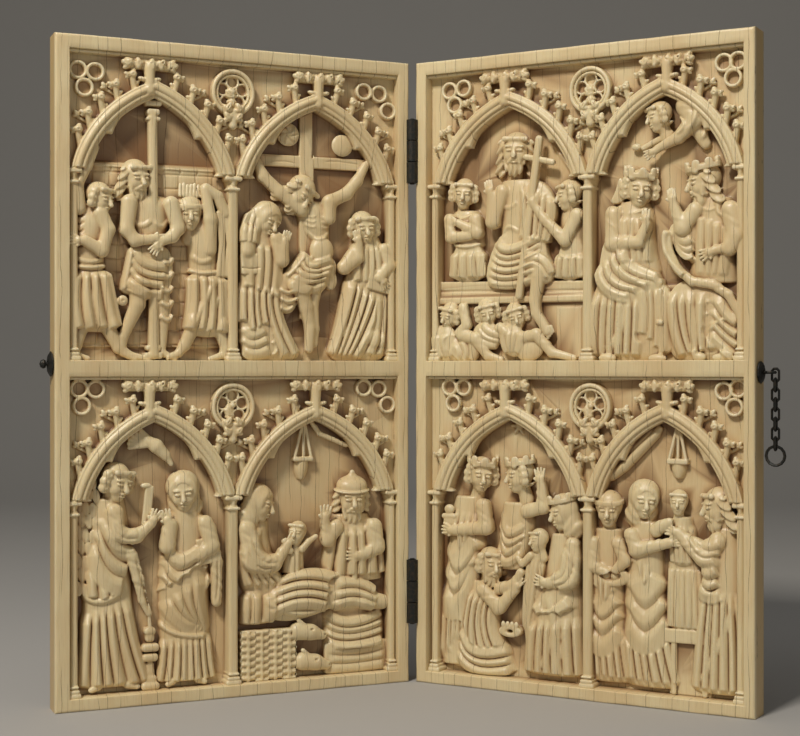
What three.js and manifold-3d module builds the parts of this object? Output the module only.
// A carved two-leaf devotional panel: two relief leaves, two barrel hinges, a stud and a short chain.
// Millimetres, +Z up. The carved faces look towards -Y and the open leaves stand on their lower edges.

import * as THREE from 'three';
import { mergeVertices } from 'three/addons/utils/BufferGeometryUtils.js';
import Module from 'manifold-3d';

const wasm = await Module();
wasm.setup();

// Driving dimensions of one leaf. u runs along the leaf from its left edge, seen from the carved side.
const LEAF_WIDTH = 119;
const LEAF_HEIGHT = 212;
const LEAF_THICKNESS = 10;
const GROUND = 7;
const EMBED = 0.6;
const SINK = 0.25;
const BORDER = 4.4;
const FLOOR_LOW = 4;
const FLOOR_HIGH = 110;
const BAR_LOW = 104.8;
const RECESS_TOP = 207.6;
const SPRING_LOW = 66;
const SPRING_HIGH = 170.5;
const ARCH_RISE = 26.6;
const SPANDREL_DEPTH = 4.6;

// How the leaves stand and turn.
const LEAF_ANGLE = THREE.MathUtils.degToRad(26.18);
const EDGE_TO_AXIS = 1.1;
const FACE_BEHIND_AXIS = 0.25;
const TOUCH_GAP = 0.3;

// Hinge barrels: three knuckles each, from these heights up.
const HINGE_BOTTOMS = { bottom: 20.1, top: 170.8 };
const KNUCKLE_HEIGHT = 7.3;
const KNUCKLE_RADIUS = 2.1;
const BORE_RADIUS = 1.15;
const PIN_RADIUS = 0.8;
const PLATE_THICKNESS = 0.9;
const PLATE_FRONT = 2.2;
const PLATE_BACK = 8.4;

// Chain and stud, on the leaves' outer edges, at mid thickness.
const STUD_HEIGHT = 108.8;
const EYE_HEIGHT = 106.2;
const EYE_REACH = 3.5;
const EYE_RADIUS = 1.5;
const EYE_WIRE = 0.5;
const LINK_COUNT = 8;
const LINK_PITCH = 3.0;
const LINK_TALL = 5.0;
const LINK_WIDE = 3.2;
const LINK_WIRE = 0.42;
const RING_RADIUS = 2.9;
const RING_WIRE = 0.5;

const IVORY = { color: 0xd9c6a0, roughness: 0.42, metalness: 0 };
const IRON = { color: 0x2b2a27, roughness: 0.55, metalness: 0.85 };

// Solid booleans.

function solid(geometry) {
  const bare = geometry.clone();
  bare.deleteAttribute('normal');
  bare.deleteAttribute('uv');
  const merged = mergeVertices(bare, 1e-4);
  return new wasm.Manifold(new wasm.Mesh({
    numProp: 3,
    vertProperties: new Float32Array(merged.attributes.position.array),
    triVerts: new Uint32Array(merged.index.array),
  }));
}

function joined(pieces) {
  let row = pieces;
  while (row.length > 1) {
    const next = [];
    for (let i = 0; i < row.length; i += 2) {
      next.push(i + 1 < row.length ? row[i].add(row[i + 1]) : row[i]);
    }
    row = next;
  }
  return row[0];
}

function toGeometry(manifold) {
  const mesh = manifold.getMesh();
  const points = [];
  for (let i = 0; i < mesh.vertProperties.length; i += mesh.numProp) {
    points.push(mesh.vertProperties[i], mesh.vertProperties[i + 1], mesh.vertProperties[i + 2]);
  }
  const geometry = new THREE.BufferGeometry();
  geometry.setAttribute('position', new THREE.Float32BufferAttribute(points, 3));
  geometry.setIndex(Array.from(mesh.triVerts));
  geometry.computeVertexNormals();
  return geometry;
}

function moved(geometry, change) {
  const place = geometry.attributes.position;
  const point = new THREE.Vector3();
  for (let i = 0; i < place.count; i += 1) {
    point.fromBufferAttribute(place, i);
    change(point);
    place.setXYZ(i, point.x, point.y, point.z);
  }
  return geometry;
}

// Relief shapes. A leaf's own frame has x along it, y as depth behind its front face, and z up.
// Each shape rises from the ground to a depth called top, so none has an undercut.

function block(x0, x1, top, back, z0, z1) {
  const box = new THREE.BoxGeometry(x1 - x0, back - top, z1 - z0);
  box.translate((x0 + x1) / 2, (top + back) / 2, (z0 + z1) / 2);
  return solid(box);
}

function plate(points, top, back = GROUND + EMBED, holes = []) {
  const shape = new THREE.Shape(points.map(([x, z]) => new THREE.Vector2(x, z)));
  shape.holes = holes.map((hole) => new THREE.Path(hole.map(([x, z]) => new THREE.Vector2(x, z))));
  const body = new THREE.ExtrudeGeometry(shape, { depth: back - top, bevelEnabled: false });
  body.rotateX(Math.PI / 2);
  body.translate(0, back, 0);
  return solid(body);
}

function dome(x, z, wide, tall, top, tilt = 0, sides = 6) {
  const ball = new THREE.SphereGeometry(1, sides, sides > 4 ? 4 : 2);
  const turn = THREE.MathUtils.degToRad(tilt);
  moved(ball, (p) => {
    const across = p.x * wide;
    const along = -p.z * tall;
    const height = p.y > 0 ? p.y * (GROUND - top) : p.y * EMBED - SINK;
    p.set(
      x + across * Math.cos(turn) - along * Math.sin(turn),
      GROUND - height,
      z + across * Math.sin(turn) + along * Math.cos(turn),
    );
  });
  return solid(ball);
}

// A limb through stations [x, z, radius, top]: a ridge with two faces, or more for more sides.
function limb(stations, sides = 4) {
  const rows = stations.length - 1;
  const tube = new THREE.CylinderGeometry(1, 1, 1, sides, rows, false, Math.PI / 2);
  moved(tube, (p) => {
    const at = Math.round((0.5 - p.y) * rows);
    const [x, z, radius, top] = stations[at];
    const before = stations[Math.max(at - 1, 0)];
    const after = stations[Math.min(at + 1, rows)];
    const run = new THREE.Vector2(after[0] - before[0], after[1] - before[1]).normalize();
    const across = p.x * radius;
    const height = p.z > 0.01 ? p.z * (GROUND - top) : p.z * EMBED - SINK;
    p.set(x - run.y * across, GROUND - height, z + run.x * across);
  });
  return solid(tube);
}

// A robe through rows [z, x, half width, top] from the shoulders down, fluted by its pleats.
function robe(rows, pleats = 5, depthOfPleat = 0.16) {
  const sides = pleats * 2 + 2;
  const steps = rows.length - 1;
  const tube = new THREE.CylinderGeometry(1, 1, 1, sides, steps, false, Math.PI / 2);
  moved(tube, (p) => {
    const at = Math.round((0.5 - p.y) * steps);
    const [z, x, wide, top] = rows[at];
    const side = Math.round(Math.atan2(p.z, p.x) / (2 * Math.PI / sides));
    const flute = at > 0 && side % 2 !== 0 ? 1 - depthOfPleat * (at / steps + 0.5) : 1;
    const height = p.z > 0.01 ? p.z * (GROUND - top) * flute : p.z * EMBED - SINK;
    p.set(x + p.x * wide, GROUND - height, z);
  });
  return solid(tube);
}

function disc(x, z, radius, top, sides = 10) {
  return plate(circle(x, z, radius, sides), top);
}

function circle(x, z, radius, sides) {
  const points = [];
  for (let i = 0; i < sides; i += 1) {
    const angle = (i / sides) * 2 * Math.PI;
    points.push([x + radius * Math.cos(angle), z + radius * Math.sin(angle)]);
  }
  return points;
}

// Architecture of one bay.

function archLine(left, right, spring, rise, offset, steps) {
  const half = (right - left) / 2;
  const radius = (half * half + rise * rise) / (2 * half);
  const middle = (left + right) / 2;
  const reach = radius + offset;
  const over = radius - half;
  const finish = Math.acos(over / reach);
  const points = [];
  for (let i = 0; i <= steps; i += 1) {
    const angle = (finish * i) / steps;
    points.push([middle + over - reach * Math.cos(angle), spring + reach * Math.sin(angle)]);
  }
  for (let i = steps - 1; i >= 0; i -= 1) {
    const angle = (finish * i) / steps;
    points.push([middle - over + reach * Math.cos(angle), spring + reach * Math.sin(angle)]);
  }
  return points;
}

const ARCH_STEPS = 5;
const MOULDING_HALF = 2.3;
const MOULDING_TOP = 0.8;
const CUSP_TOP = 2.2;
const CUSP_REACH = 13.8;
const CUSP_RISE = 11;

function archPieces({ left, right, spring }) {
  const outer = archLine(left, right, spring, ARCH_RISE, MOULDING_HALF, ARCH_STEPS);
  const inner = archLine(left, right, spring, ARCH_RISE, -MOULDING_HALF, ARCH_STEPS);
  const band = plate([...outer, ...inner.slice().reverse()], MOULDING_TOP);
  const middle = (left + right) / 2;
  const root = archLine(left, right, spring, ARCH_RISE, 0.6 - MOULDING_HALF, ARCH_STEPS);
  const low = root[1];
  const high = root[3];
  const tooth = [
    ...root.slice(1, 4).reverse(),
    [low[0] + 3, low[1] + 4.4],
    [middle - CUSP_REACH, spring + CUSP_RISE],
    [high[0] - 2.6, high[1] - 3.4],
  ];
  const mirrored = tooth.map(([x, z]) => [2 * middle - x, z]).reverse();
  const cusps = [plate(tooth, CUSP_TOP), plate(mirrored, CUSP_TOP)];
  return [band, ...cusps];
}

function crockets({ left, right, spring }) {
  const line = archLine(left, right, spring, ARCH_RISE, MOULDING_HALF + 2.2, 12);
  const places = [4, 7, 10];
  const knobs = [];
  for (const at of places) {
    knobs.push(dome(line[at][0], line[at][1], 1.7, 2, 1.2, 30, 4));
    const mirror = line[line.length - 1 - at];
    knobs.push(dome(mirror[0], mirror[1], 1.7, 2, 1.2, -30, 4));
  }
  return knobs;
}

function spandrel(bays, spring, roof) {
  const field = block(BORDER, LEAF_WIDTH - BORDER, SPANDREL_DEPTH, GROUND + EMBED, spring, roof + 0.5);
  const opening = bays.map(({ left, right }) => {
    const line = archLine(left, right, spring, ARCH_RISE, 0, ARCH_STEPS);
    const low = spring - 1;
    const points = [[line[0][0], low], ...line, [line[line.length - 1][0], low]];
    return plate(points, SPANDREL_DEPTH - 1, GROUND + 2);
  });
  return field.subtract(joined(opening)).add(
    block(BORDER, LEAF_WIDTH - BORDER, GROUND - 0.1, GROUND + EMBED, spring, roof + 0.5),
  );
}

function boss(x, roof) {
  return joined([
    block(x - 7, x + 7, 1, GROUND + EMBED, roof - 2.2, roof + 0.4),
    block(x - 4, x + 4, 0.5, GROUND + EMBED, roof - 4.8, roof - 2),
    dome(x, roof - 6.6, 3, 2.8, 0.4),
  ]);
}

function roundel(x, z) {
  const ring = plate(circle(x, z, 7.2, 10), 1.6, GROUND + EMBED, [circle(x, z, 5.3, 8)]);
  const leaves = [0, 90].map((tilt) => dome(x, z, 1.7, 4.6, 3, tilt, 4));
  return [ring, ...leaves];
}

function cornerTrefoil(x, z) {
  return [[0, 2.6], [-2.7, -2], [2.7, -2]].map(([across, up]) => disc(x + across, z + up, 2.3, 2.4, 5));
}

function column(x, floor, spring, radius) {
  const capital = spring - 4.8;
  return joined([
    limb([[x, spring - 1, radius + 0.6, 1.6], [x, capital, radius, 2], [x, floor + 3, radius, 2]], 6),
    block(x - radius - 1, x + radius + 1, 1.4, GROUND + EMBED, spring - 1.6, spring + 0.3),
    block(x - radius - 1, x + radius + 1, 1.4, GROUND + EMBED, floor - 0.3, floor + 3.2),
  ]);
}

// Heads, used by every scene.

function head(x, z, size = 4.8, top = 1.2) {
  return dome(x, z, size * 0.94, size * 1.16, top);
}

// The eight scenes, by leaf and place. Every figure is one or more robes, limbs and lumps.

function scourging() {
  return [
    block(7, 55, 6.3, GROUND + EMBED, 109, 172),
    block(7, 54, 5.8, GROUND + EMBED, 171.5, 174),
    head(14.6, 161.8, 4.6),
    robe([[157, 12.5, 6.6, 2.4], [148, 12.6, 5.6, 2], [139.5, 11.6, 4.6, 2.4]], 1),
    robe([[140, 11.6, 4.8, 2.2], [130, 12.4, 6, 2], [119.4, 13.6, 6.6, 1.8]], 3),
    limb([[9, 156, 2.4, 2], [7.6, 166, 1.9, 2], [13.4, 178.4, 1.3, 3]]),
    limb([[19, 153, 2, 1.4], [15.4, 144.4, 2, 1], [9, 148.6, 1.6, 1.4]]),
    limb([[17.4, 120, 2.2, 2.4], [22, 112.4, 1.8, 2.2], [29, 110, 1.4, 2]]),
    head(25.6, 168.6, 5),
    robe([[161, 30, 8.4, 2.8], [152, 29, 6.8, 2], [144, 27.6, 5.6, 2.4]], 1),
    robe([[146, 27.4, 5.8, 1.8], [138, 26.4, 6, 1.6], [130, 25.6, 5, 2]], 3),
    limb([[22.6, 159.4, 2, 2], [22.2, 150.4, 1.9, 1.4], [31, 147, 1.7, 0.8]]),
    limb([[38.2, 158.6, 2.2, 2], [39.4, 151.6, 2, 1.6], [32, 148, 1.7, 0.8]]),
    limb([[27.4, 131.6, 2.8, 2.2], [25, 123.4, 2.5, 2], [21.8, 110, 1.7, 2.6]]),
    limb([[31.6, 190, 1.5, 1.6], [31.6, 111, 1.6, 1.6]]),
    block(29.2, 34, 1.4, GROUND + EMBED, 189.4, 194),
    block(29, 34.2, 1.6, GROUND + EMBED, 109.6, 113),
    robe([[147, 35.4, 2.2, 3.4], [134, 36, 2.8, 3.6], [120.6, 34.4, 1.6, 4.4]], 1),
    head(43.4, 160.2, 4.3),
    block(39.8, 47, 2, GROUND + EMBED, 163, 167),
    robe([[154, 46, 4.6, 2.8], [146.4, 48.4, 6, 2], [139.4, 49, 4.8, 2.4]], 1),
    robe([[140, 49, 5, 2.2], [128, 49.6, 5.6, 2], [118.4, 50, 6.2, 1.8]], 3),
    limb([[49.4, 149, 1.9, 1.6], [48.6, 165.8, 1.6, 1.2]]),
    limb([[49.4, 165, 1.6, 1.4], [55.4, 156.4, 1.8, 2], [56, 139, 1.7, 3]]),
    limb([[46, 122, 2.1, 2.4], [41.4, 114, 1.7, 2.6], [36, 110.4, 1.4, 2.2]]),
    limb([[54.6, 119.6, 2, 2.6], [54, 110, 1.8, 2.8]]),
  ];
}

function crucifixion() {
  return [
    block(64, 104, 6, GROUND + EMBED, 175, 178.6),
    block(81.6, 86.2, 6, GROUND + EMBED, 111, 194),
    disc(77, 185.6, 3.8, 4.2),
    disc(96.2, 183, 3.6, 4.2),
    dome(82.4, 165.8, 4.6, 5.8, 1, 40, 7),
    limb([[65.6, 178, 1.4, 4.6], [69, 170.4, 1.8, 3.6], [79.6, 161, 2.4, 2.8]]),
    limb([[104.6, 177.4, 1.4, 4.6], [98, 169, 1.8, 3.6], [90.6, 162.4, 2.4, 2.8]]),
    robe([[162.6, 86.2, 6, 2.6], [149, 88, 4.9, 1.2], [142, 88.4, 4.8, 2]], 1),
    dome(85, 138.4, 10, 5.2, 1.4, 16),
    robe([[136, 77, 2.6, 2.6], [131, 76, 3.2, 2.2], [125.6, 76.4, 2, 2.8]], 1),
    limb([[81.6, 137, 3.2, 1.2], [84, 124, 2.2, 1.4], [84, 113.4, 1.5, 2]]),
    dome(68.6, 157.4, 5.6, 6.4, 1.6, -14, 7),
    robe([[153, 66.4, 5.6, 2.4], [140, 67, 6.4, 1.8], [126, 69.2, 7.6, 1.6], [111, 71, 10.4, 1.8]], 3),
    limb([[66, 146, 2.2, 1.6], [71, 145, 2, 1.2], [75.8, 150, 1.5, 1.6]]),
    block(60.4, 66, 2.2, GROUND + EMBED, 138, 145),
    head(103.6, 155.8, 4.7),
    robe([[149.6, 106.4, 6.6, 2.6], [138, 104.6, 8, 1.8], [125, 103.4, 8.6, 1.6], [111, 102, 10.6, 1.8]], 3),
    limb([[104, 147, 2.2, 1.6], [97.6, 141, 2.1, 1.2], [100.6, 151, 1.6, 1]]),
    block(106, 112.4, 1.8, GROUND + EMBED, 133.4, 140.6),
  ];
}

function annunciation() {
  const wing = [[6, 38], [9, 33], [12.6, 42], [14.4, 62], [14.8, 72], [12.4, 75.6], [7.6, 66]];
  return [
    plate(wing, 4.2),
    head(20.6, 71, 5.2),
    robe([[64.6, 17.4, 6.4, 2.6], [50, 17, 9.4, 1.6], [35, 16.4, 9, 1.4], [20, 17.6, 9.4, 1.6],
      [6, 18.4, 10.6, 1.8]], 3),
    limb([[17, 60, 2.4, 1.8], [25, 53.4, 2.2, 1], [31.4, 58, 1.5, 1.6]]),
    limb([[31, 69.4, 0.9, 2.4], [28.6, 64, 1.1, 2.2], [29, 56, 1.1, 2]]),
    limb([[27, 49, 2, 2.2], [27.4, 40, 2, 2], [31, 28, 1.2, 2.6]]),
    limb([[30.8, 22, 1.4, 3], [30.8, 16, 2.4, 3], [30.8, 6, 2, 3]]),
    dome(41.4, 69.8, 5.4, 6.4, 1, 0, 7),
    robe([[63.4, 44, 5, 2.6], [52, 45, 8.6, 1.6], [40, 44.4, 8.8, 1.4], [27, 42.6, 7.4, 1.6],
      [20, 42.6, 7.2, 1.6]], 3),
    robe([[24, 43, 5.6, 2.6], [7, 42.4, 6.8, 2.4]], 3),
    robe([[58, 52.6, 3, 3.6], [44, 53, 3.2, 3.4], [30, 49.6, 2, 4]], 1),
    limb([[35, 62, 1.4, 1.4], [39.6, 57.6, 1.8, 1.6]]),
    plate([[46.4, 44.6], [51.6, 43.6], [53, 51], [48, 52]], 0.9),
    dome(28.6, 85.4, 7.4, 3.4, 3, -28, 7),
    dome(34.8, 80, 3.6, 1.5, 2.6, -48, 6),
  ];
}

function nativity() {
  const weave = [];
  for (let x = 62; x < 80; x += 4.9) {
    weave.push(limb([[x, 20.6, 2, 1.8], [x, 4, 2, 1.8]]));
  }
  return [
    dome(67, 64, 5.8, 6.6, 1.2, -10, 7),
    robe([[58, 65.4, 4.8, 2.6], [46, 66, 6.4, 1.8], [37, 67.6, 7.6, 1.8]], 2),
    limb([[62.4, 55, 2.6, 1.6], [63, 43, 2.4, 1.2], [72, 41.6, 2, 1.2], [76, 49.6, 1.5, 1.4]]),
    dome(82, 31, 14, 6.2, 1, 14, 7),
    dome(97, 30.4, 15, 5.6, 2, -20, 7),
    dome(66, 30, 6, 5, 2.4, 0, 7),
    dome(80, 52.6, 4.4, 3.1, 1.4),
    dome(79, 45.6, 4.2, 4, 1.2),
    head(100, 64.6, 5.8, 0.8),
    dome(100, 72.4, 5.6, 4, 1),
    dome(98, 56.4, 4, 5, 1.2),
    robe([[59, 102, 8.6, 2.8], [48, 101.4, 10.4, 2], [37, 102.6, 8.4, 2.4]], 3),
    limb([[96, 50, 2.2, 1.4], [89.4, 58.6, 1.5, 2]]),
    limb([[110, 52, 2.4, 1.6], [105, 45, 2, 1], [98, 44, 1.5, 1.2]]),
    limb([[82.8, 91, 1.2, 3.6], [82.2, 80, 2.4, 3.2], [82.4, 69.6, 2, 3.4]]),
    limb([[84.6, 91, 0.9, 4], [88, 85.6, 0.9, 4], [97.6, 81.6, 0.9, 4]]),
    block(60.6, 79.4, 3, GROUND + EMBED, 4, 19.6),
    ...weave,
    dome(85, 19, 7, 3.4, 2.2, -16),
    dome(87, 9, 7.4, 4.6, 2.6, 10),
    robe([[25.6, 101, 9.6, 2.4], [14, 102, 9.4, 2.6]], 2),
    dome(102, 9.4, 10.6, 4.8, 2.4),
  ];
}

function resurrection() {
  return [
    head(36.4, 180.2, 5.9, 0.8),
    robe([[171.6, 37.4, 9, 2.8], [150, 37.4, 8, 1.8], [136, 35.4, 10.4, 2.2]], 3),
    limb([[30.6, 157, 2, 2.2], [29, 163, 1.7, 1.6], [27.4, 171.6, 1.3, 2]]),
    limb([[45.6, 183.4, 1.5, 1.4], [38.4, 131, 1.5, 1]]),
    limb([[40.6, 177.8, 1, 2], [50.4, 175.4, 1, 2.4]]),
    limb([[39, 141, 3.4, 1.6], [47, 142, 3.4, 1]]),
    limb([[44.6, 142, 3.6, 1], [42.6, 127.6, 2.2, 1.4], [49.8, 119.4, 1.7, 1.6]]),
    head(17, 167.2, 4.9, 2),
    robe([[160.4, 16.4, 6.8, 3.4], [151, 17, 5.8, 2.8], [137, 17.6, 5.4, 3]], 3),
    limb([[10.4, 159, 1.9, 2.8], [13.4, 151, 1.9, 2.2], [23.4, 153.6, 1.7, 2]]),
    limb([[22, 159, 2, 2.6], [19.6, 152, 1.8, 2]]),
    head(55, 164.4, 4.5, 2),
    robe([[157.6, 56, 4, 3.4], [146, 55, 4.4, 2.8], [136.6, 54.6, 4.8, 3]], 2),
    limb([[58.6, 157, 2, 2.6], [53.4, 149.4, 1.9, 1.8], [42.6, 163.6, 1.5, 1]]),
    block(6.5, 60, 4.2, GROUND + EMBED, 132, 137),
    block(6.5, 60, 2.8, GROUND + EMBED, 129.8, 133.2),
    block(50.6, 60, 4.8, GROUND + EMBED, 109.5, 130),
    head(11.2, 125.6, 4.4, 1.8),
    dome(10.6, 116, 7.4, 6, 1.6),
    limb([[15, 120, 2, 2], [21.6, 117, 2.6, 1.8], [28.6, 110.8, 1.6, 2]]),
    head(26, 126, 4.2, 2),
    head(36, 125, 4.3, 1.8),
    dome(32.6, 116.8, 4.6, 5.4, 1.4),
    dome(41, 115, 5, 4.4, 1.8),
    limb([[44, 119, 2.4, 2], [48.6, 113.6, 1.8, 2.2], [57, 110.4, 1.4, 2.4]]),
  ];
}

function coronation() {
  return [
    head(80.6, 166, 5.8, 0.8),
    robe([[176, 81, 5.4, 1.6], [171, 80.8, 5.8, 1]], 4, 0.3),
    robe([[160.6, 77.4, 6, 2.8], [150, 76.6, 7.4, 2], [138, 77.6, 9, 1.6]], 3),
    robe([[139, 79, 9, 1.6], [132, 79.4, 11.6, 0.8], [122, 79, 10.6, 1.2], [110.4, 77.4, 11, 1.6]], 3),
    limb([[72, 156, 2.4, 2], [74.4, 146.6, 2.2, 1], [82, 148.6, 1.9, 0.8], [83.6, 157.4, 1.5, 1]]),
    head(100.4, 167, 5.4, 0.9),
    robe([[176.4, 101.8, 5.2, 1.6], [171, 101.4, 5.4, 1]], 4, 0.3),
    robe([[160.6, 105, 6.4, 2.8], [150, 104.4, 8, 2], [138, 103.4, 9, 1.6]], 3),
    robe([[139, 102, 10, 1.6], [132, 102.6, 11, 0.8], [122, 102.6, 10.8, 1.2], [110.4, 102.4, 11, 1.6]], 3),
    limb([[99, 155, 2.2, 2], [94.4, 151, 2, 1.4], [91.4, 165, 1.4, 1.6]]),
    limb([[110.6, 158, 2.2, 2], [112, 147, 2.2, 1.2], [103.6, 142.6, 1.9, 1]]),
    limb([[89.6, 150, 1.6, 2.6], [94, 136, 1.8, 1.4], [108, 133.4, 1.9, 0.8]]),
    head(87, 188, 4.7, 1.6),
    dome(94, 187.6, 4.6, 5, 3),
    limb([[98, 187, 2.6, 2.6], [94.4, 180.6, 2.1, 2], [84, 176.6, 1.5, 1.6]]),
  ];
}

function adoration() {
  const star = [];
  for (const tilt of [-70, -35, 0, 35, 70]) {
    star.push(dome(36 - tilt * 0.03, 88.4, 0.9, 4, 4.4, tilt, 6));
  }
  return [
    head(23, 74.2, 5.3, 1.2),
    robe([[66.6, 19.4, 7, 2.8], [57, 17.6, 9.4, 2], [48, 17, 8, 1.8]], 2),
    robe([[48.4, 17, 7.6, 1.8], [30, 13.6, 6.8, 2], [7, 11, 6, 2.2]], 3),
    limb([[26, 63, 2.2, 2], [26.6, 53.6, 2.2, 1.2], [12, 51.6, 1.8, 1]]),
    block(9, 14, 1.2, GROUND + EMBED, 54, 60),
    head(37.4, 73.4, 5.4, 1.2),
    robe([[66, 36, 6, 2.8], [56, 36, 7.2, 2], [46, 36, 6.4, 2.2]], 3),
    limb([[42, 61, 2, 2], [46.8, 66, 1.8, 1.6], [45.4, 75, 1.6, 1.8]]),
    dome(27.4, 41, 5, 4.6, 1, -30, 7),
    robe([[37, 20.6, 5, 2], [28, 20, 8, 1.2], [21, 20, 8.6, 1]], 3),
    dome(21, 14, 14, 7, 0.9, -6, 7),
    limb([[24, 32, 2.4, 1], [31, 27.6, 2.2, 0.8], [38, 33, 1.8, 1]]),
    limb([[33, 35, 2, 1.2], [38.4, 38.6, 1.9, 1], [37, 44.6, 1.8, 1.2]]),
    robe([[25, 33, 2.6, 1.4], [15, 33.4, 2.8, 1.4]], 3, 0.3),
    dome(53.4, 60.6, 5.2, 6.4, 1, 8, 7),
    robe([[54, 54.6, 5, 2.4], [44, 54.6, 5.4, 1.8], [32, 53, 7, 1.2]], 2),
    robe([[33, 52.6, 7.2, 1], [24, 50.6, 8.4, 1], [5.6, 50, 9.4, 1.4]], 3),
    limb([[57, 50, 2.4, 1.4], [55, 36.6, 2.2, 0.9], [49, 36, 1.7, 1]]),
    dome(44.6, 50.4, 4.2, 3.8, 1, 0, 7),
    robe([[46.6, 44, 3.6, 1.4], [38, 43, 3.8, 1], [22, 39.6, 3.4, 1.6], [8, 41.6, 3, 2]], 2),
    ...star,
  ];
}

function presentation() {
  return [
    head(69.6, 62.4, 5.5, 1.2),
    robe([[56, 68.2, 6, 2.8], [45, 68, 6.6, 2], [30, 68.6, 6.2, 2], [6, 68.4, 8, 2]], 2),
    plate(circle(70.2, 40.6, 5.2, 12), 1, GROUND + EMBED, [circle(70.2, 41.2, 2.8, 8)]),
    head(81.6, 65.4, 5.2, 1),
    robe([[59.4, 81, 5.4, 2.6], [50, 80.8, 6.4, 1.8], [35, 82.2, 6.6, 1.4], [20, 84, 6.4, 1.6],
      [5, 86.4, 5.4, 1.8]], 2),
    limb([[79, 50, 2.2, 1.4], [84, 50.6, 2, 0.9], [90.6, 52.4, 1.6, 1]]),
    limb([[84, 57, 2, 2], [89, 58.6, 1.6, 1.4]]),
    head(93, 65.2, 3, 2),
    robe([[61, 93, 2.8, 2.6], [46, 92.6, 3.6, 2.2]], 1),
    robe([[45, 96.4, 7.4, 4.2], [24.6, 96.6, 7.4, 3.8]], 3),
    block(89.4, 103, 5, GROUND + EMBED, 20.4, 24.8),
    head(106.2, 63.8, 5.6, 1),
    dome(104, 56.6, 3, 4.6, 1.6, 20, 7),
    robe([[57, 107.6, 6, 2.6], [48, 105.6, 8.4, 1.4], [37, 106, 8.2, 1.6], [22, 107, 8, 1.8],
      [5, 106.6, 8.6, 2]], 3),
    limb([[104, 50, 2.8, 1.2], [96, 50, 2.2, 1], [91.6, 57, 1.6, 1.4]]),
    limb([[92.6, 91, 1.2, 3.6], [92.6, 80, 2.8, 3.2], [92.6, 72.6, 2, 3.4]]),
  ];
}

// One leaf in its own frame.

const HIGH_LEFT = { left: 8.2, right: 55.4, spring: SPRING_HIGH };
const HIGH_RIGHT = { left: 62.6, right: 111, spring: SPRING_HIGH };
const LOW_LEFT = { left: 8, right: 56, spring: SPRING_LOW };
const LOW_RIGHT = { left: 62.6, right: 110.6, spring: SPRING_LOW };
const LEFT_LEAF = { shift: 0, scenes: [scourging, crucifixion, annunciation, nativity] };
const RIGHT_LEAF = { shift: 2.2, scenes: [resurrection, coronation, adoration, presentation] };

function shifted(bay, shift) {
  return { ...bay, left: bay.left + shift, right: bay.right + shift };
}

function storey(bays, spring, floor, roof, shift) {
  const middle = (bays[0].right + bays[1].left) / 2;
  const pieces = [spandrel(bays, spring, roof)];
  pieces.push(column(middle, floor, spring, 1.7));
  pieces.push(column(BORDER + 1.6, floor, spring, 1.1));
  pieces.push(column(LEAF_WIDTH - BORDER - 1.2, floor, spring, 1.1));
  pieces.push(...roundel(middle, roof - 9));
  pieces.push(...cornerTrefoil(10 + shift, roof - 7));
  pieces.push(...cornerTrefoil(LEAF_WIDTH - 10 + shift * 0.5, roof - 7));
  for (const bay of bays) {
    pieces.push(...archPieces(bay));
    pieces.push(...crockets(bay));
    pieces.push(boss((bay.left + bay.right) / 2 - 0.5, roof));
  }
  return pieces;
}

function leafSolid({ shift, scenes }) {
  const high = [shifted(HIGH_LEFT, shift), shifted(HIGH_RIGHT, shift)];
  const low = [shifted(LOW_LEFT, shift), shifted(LOW_RIGHT, shift)];
  const inside = LEAF_WIDTH - BORDER;
  const slab = block(0, LEAF_WIDTH, 0, LEAF_THICKNESS, 0, LEAF_HEIGHT)
    .subtract(block(BORDER, inside, -1, GROUND, FLOOR_LOW, BAR_LOW))
    .subtract(block(BORDER, inside, -1, GROUND, FLOOR_HIGH, RECESS_TOP));
  const carving = joined([
    ...storey(high, SPRING_HIGH, FLOOR_HIGH, RECESS_TOP, shift),
    ...storey(low, SPRING_LOW, FLOOR_LOW, BAR_LOW, shift),
    ...scenes.flatMap((scene) => scene()),
  ]);
  const margin = 1;
  const allowed = block(margin, LEAF_WIDTH - margin, 0.2, GROUND + 2, margin, LEAF_HEIGHT - margin);
  return slab.add(carving.intersect(allowed));
}

// What the fittings take out of a leaf. side is 1 where the hinge is on the leaf's right.

function post(x, y, radius, z0, z1, sides = 12) {
  const round = new THREE.CylinderGeometry(radius, radius, z1 - z0, sides);
  round.rotateX(Math.PI / 2);
  round.translate(x, y, (z0 + z1) / 2);
  return solid(round);
}

function edgeBore(x, z, radius, length) {
  const round = new THREE.CylinderGeometry(radius, radius, length, 10);
  round.rotateZ(Math.PI / 2);
  round.translate(x, LEAF_THICKNESS / 2, z);
  return solid(round);
}

function hingePlace(side) {
  const edge = side > 0 ? LEAF_WIDTH : 0;
  return { edge, axis: edge + side * EDGE_TO_AXIS };
}

function mortises(side) {
  const { edge, axis } = hingePlace(side);
  const cuts = [];
  for (const low of Object.values(HINGE_BOTTOMS)) {
    const z0 = low - TOUCH_GAP;
    const z1 = low + 3 * KNUCKLE_HEIGHT + TOUCH_GAP;
    const depth = PLATE_THICKNESS + TOUCH_GAP;
    const xs = [edge - side * depth, edge + side].sort((a, b) => a - b);
    cuts.push(block(xs[0], xs[1], -1, PLATE_BACK + TOUCH_GAP, z0, z1));
    cuts.push(post(axis, -FACE_BEHIND_AXIS, KNUCKLE_RADIUS + TOUCH_GAP, z0, z1));
  }
  return joined(cuts);
}

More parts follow.
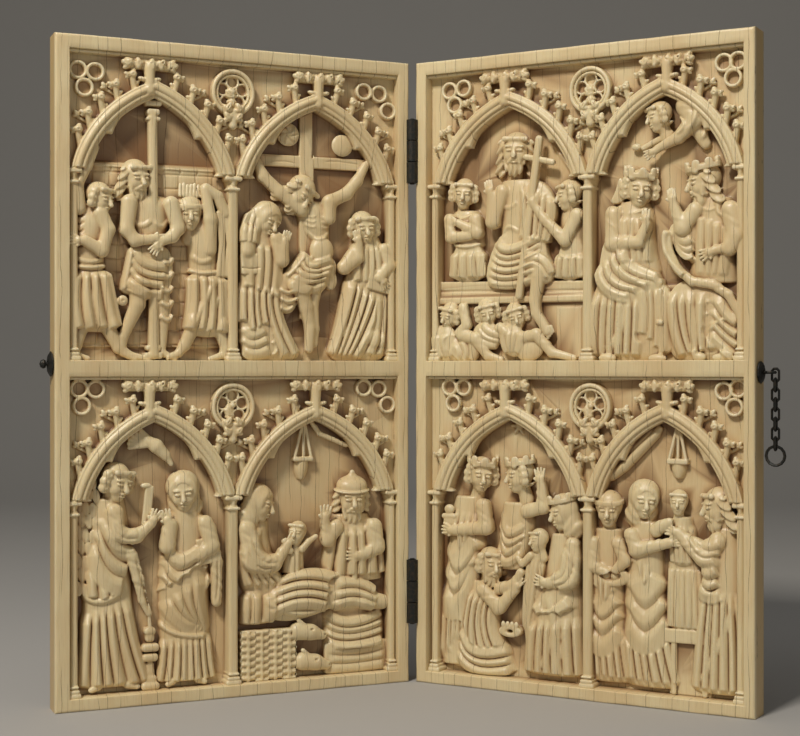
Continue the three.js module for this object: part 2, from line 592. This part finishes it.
function hingeHalf(side, low, knuckles) {
  const { edge, axis } = hingePlace(side);
  const inner = edge - side * PLATE_THICKNESS;
  const xs = [inner, edge].sort((a, b) => a - b);
  const tab = [inner, edge - side * 0.15].sort((a, b) => a - b);
  const high = low + 3 * KNUCKLE_HEIGHT;
  const pieces = [block(xs[0], xs[1], PLATE_FRONT, PLATE_BACK, low, high)];
  for (const at of knuckles) {
    const z0 = low + at * KNUCKLE_HEIGHT + TOUCH_GAP / 2;
    const z1 = low + (at + 1) * KNUCKLE_HEIGHT - TOUCH_GAP / 2;
    pieces.push(post(axis, -FACE_BEHIND_AXIS, KNUCKLE_RADIUS, z0, z1));
    pieces.push(block(tab[0], tab[1], -FACE_BEHIND_AXIS, PLATE_FRONT + 0.2, z0, z1));
  }
  const bore = post(axis, -FACE_BEHIND_AXIS, BORE_RADIUS, low - 1, high + 1);
  return toGeometry(joined(pieces).subtract(bore));
}

// Turned and bent hardware.

function turnedOut(profile, sides = 10) {
  const points = profile.map(([radius, reach]) => new THREE.Vector2(radius, reach));
  return new THREE.LatheGeometry(points, sides);
}

function domedWasher(radius, thickness, hole) {
  const low = TOUCH_GAP;
  return turnedOut([
    [hole, low],
    [radius, low],
    [radius, low + thickness * 0.3],
    [radius * 0.72, low + thickness * 0.8],
    [hole + 0.5, low + thickness],
    [hole, low + thickness],
    [hole, low],
  ]);
}

function studTurning() {
  return turnedOut([[0, -3.4], [0.6, -3.4], [0.6, 2], [1.2, 2.1], [1.5, 2.8], [1.1, 3.6], [0, 4]]);
}

// An upright oval link, made from a ring whose upper half moves up and lower half down.
function linkRing() {
  const half = LINK_WIDE / 2 - LINK_WIRE;
  const ring = new THREE.TorusGeometry(half, LINK_WIRE, 4, 8);
  ring.rotateZ(Math.PI / 8);
  ring.rotateX(Math.PI / 2);
  const stretch = (LINK_TALL - LINK_WIDE) / 2;
  return moved(ring, (p) => {
    p.z += Math.sign(p.z) * stretch;
  });
}

function eyeSolid() {
  const loop = new THREE.TorusGeometry(EYE_RADIUS, EYE_WIRE, 5, 10);
  loop.translate(EYE_REACH, 0, 0);
  const shank = new THREE.CylinderGeometry(EYE_WIRE, EYE_WIRE, EYE_REACH - EYE_RADIUS + 3.4, 6);
  shank.rotateZ(Math.PI / 2);
  shank.translate((EYE_REACH - EYE_RADIUS - 3.4) / 2, 0, 0);
  return toGeometry(solid(loop).add(solid(shank)));
}

// Assembly.

function named(name, geometry, look) {
  const mesh = new THREE.Mesh(geometry, new THREE.MeshStandardMaterial(look));
  mesh.name = name;
  return mesh;
}

function addHinges(leaf, label, side, knuckles) {
  for (const [place, low] of Object.entries(HINGE_BOTTOMS)) {
    leaf.add(named(`${label}_hinge_${place}`, hingeHalf(side, low, knuckles), IRON));
  }
}

function addPins(leaf, side) {
  const { axis } = hingePlace(side);
  for (const [place, low] of Object.entries(HINGE_BOTTOMS)) {
    const length = 3 * KNUCKLE_HEIGHT + 0.6;
    const pin = new THREE.CylinderGeometry(PIN_RADIUS, PIN_RADIUS, length, 10);
    const mesh = named(`hinge_pin_${place}`, pin, IRON);
    mesh.rotation.x = Math.PI / 2;
    mesh.position.set(axis, -FACE_BEHIND_AXIS, low + 1.5 * KNUCKLE_HEIGHT);
    leaf.add(mesh);
  }
}

function addChain(leaf) {
  const away = LEAF_WIDTH + EYE_REACH + EYE_RADIUS;
  const middle = LEAF_THICKNESS / 2;
  const linkInside = LINK_TALL / 2 - 2 * LINK_WIRE;
  let z = EYE_HEIGHT + EYE_WIRE + TOUCH_GAP - linkInside;
  for (let i = 0; i < LINK_COUNT; i += 1) {
    const link = named(`chain_link_${i + 1}`, linkRing(), IRON);
    link.position.set(away, middle, z);
    link.rotation.z = i % 2 === 0 ? 0 : Math.PI / 2;
    leaf.add(link);
    z -= LINK_PITCH;
  }
  const lastBottom = z + LINK_PITCH - linkInside;
  const ring = named('end_ring', new THREE.TorusGeometry(RING_RADIUS, RING_WIRE, 5, 14), IRON);
  ring.rotation.x = Math.PI / 2;
  ring.position.set(away, middle, lastBottom + TOUCH_GAP + RING_WIRE - RING_RADIUS);
  leaf.add(ring);
}

function leftLeaf() {
  const leaf = new THREE.Group();
  const hole = edgeBore(1, STUD_HEIGHT, 0.95, 8);
  const body = leafSolid(LEFT_LEAF).subtract(mortises(1)).subtract(hole);
  leaf.add(named('left_leaf', toGeometry(body), IVORY));
  addHinges(leaf, 'left', 1, [0, 2]);
  addPins(leaf, 1);
  const washer = named('stud_washer', domedWasher(3.95, 1.3, 0.95), IRON);
  const stud = named('stud', studTurning(), IRON);
  for (const piece of [washer, stud]) {
    piece.rotation.z = Math.PI / 2;
    piece.position.set(0, LEAF_THICKNESS / 2, STUD_HEIGHT);
    leaf.add(piece);
  }
  leaf.rotation.z = LEAF_ANGLE;
  return leaf;
}

function rightLeaf() {
  const leaf = new THREE.Group();
  const hole = edgeBore(LEAF_WIDTH - 1, EYE_HEIGHT, 0.85, 8);
  const body = leafSolid(RIGHT_LEAF).subtract(mortises(-1)).subtract(hole);
  leaf.add(named('right_leaf', toGeometry(body), IVORY));
  addHinges(leaf, 'right', -1, [1]);
  const washer = named('eye_washer', domedWasher(3.5, 1.1, 0.85), IRON);
  washer.rotation.z = -Math.PI / 2;
  washer.position.set(LEAF_WIDTH, LEAF_THICKNESS / 2, EYE_HEIGHT);
  leaf.add(washer);
  const eye = named('chain_eye', eyeSolid(), IRON);
  eye.position.set(LEAF_WIDTH, LEAF_THICKNESS / 2, EYE_HEIGHT);
  leaf.add(eye);
  addChain(leaf);
  leaf.rotation.z = -LEAF_ANGLE;
  return leaf;
}

// Each leaf is hung so that its hinge side lands on the common axis at the group's middle.
function onAxis(leaf, side) {
  const { axis } = hingePlace(side);
  const reach = new THREE.Vector3(axis, -FACE_BEHIND_AXIS, 0);
  reach.applyAxisAngle(new THREE.Vector3(0, 0, 1), leaf.rotation.z);
  leaf.position.copy(reach).negate();
  return leaf;
}

const group = new THREE.Group();
group.add(onAxis(leftLeaf(), 1));
group.add(onAxis(rightLeaf(), -1));

// The origin is under the middle of the whole object's box, at the surface it stands on.
group.updateMatrixWorld(true);
const box = new THREE.Box3().setFromObject(group, true);
group.position.set(-(box.min.x + box.max.x) / 2, -(box.min.y + box.max.y) / 2, -box.min.z);
group.updateMatrixWorld(true);

export default group;
